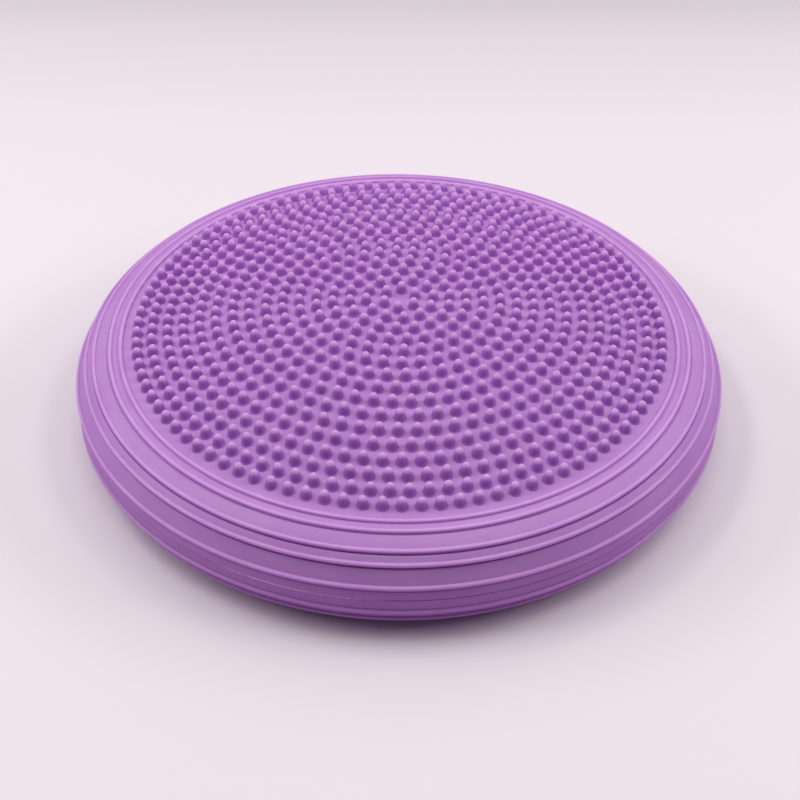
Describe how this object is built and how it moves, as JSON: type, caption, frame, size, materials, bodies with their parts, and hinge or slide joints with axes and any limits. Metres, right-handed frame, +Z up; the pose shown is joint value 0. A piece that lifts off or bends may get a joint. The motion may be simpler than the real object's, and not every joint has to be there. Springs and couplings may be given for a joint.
{
  "type": "inflatable balance disc",
  "caption": "Round air-filled balance cushion with rings of massage nubs on a domed top, a ribbed rim, a welded seam and a valve with a pull-out plug underneath.",
  "frame": {"origin": "centre of the disc's circle at the level of the floor that it lies on", "axes": "+Z up along the disc's axis, -Y to the front"},
  "size_m": [0.3308, 0.3308, 0.0741],
  "materials": {
    "skin": "soft moulded PVC, satin, purple",
    "nubs": "soft moulded PVC, satin, purple, slightly polished tips",
    "seam": "soft PVC, trimmed moulding flash, matt, paler purple",
    "valve_rubber": "soft rubber, matt, grey",
    "valve_plastic": "moulded plastic, satin, white"
  },
  "bodies": {
    "base": {"lower_panel": "skin", "grip_bumps": "skin", "lower_wall": "skin", "valve_seat": "valve_rubber"},
    "seam": {"seam_ring": "seam"},
    "deck": {"top_panel": "skin", "nub_field": "nubs", "upper_wall": "skin"},
    "plug": {"valve_plug": "valve_plastic"}
  },
  "joints": [
    {"name": "tilt_fore", "type": "hinge", "parent": "base", "child": "seam", "pos_m": [0, 0, 0.0266], "axis": [1, 0, 0], "range_deg": [-6, 6], "stiffness_Nm_per_rad": 250, "deforming": ["lower_wall"]},
    {"name": "tilt_side", "type": "hinge", "parent": "seam", "child": "deck", "pos_m": [0, 0, 0.0266], "axis": [0, 1, 0], "range_deg": [-6, 6], "stiffness_Nm_per_rad": 250, "deforming": ["upper_wall"]},
    {"name": "plug_pull", "type": "slide", "parent": "base", "child": "plug", "axis": [0, 0, -1], "range_m": [0, 0.014]}
  ]
}
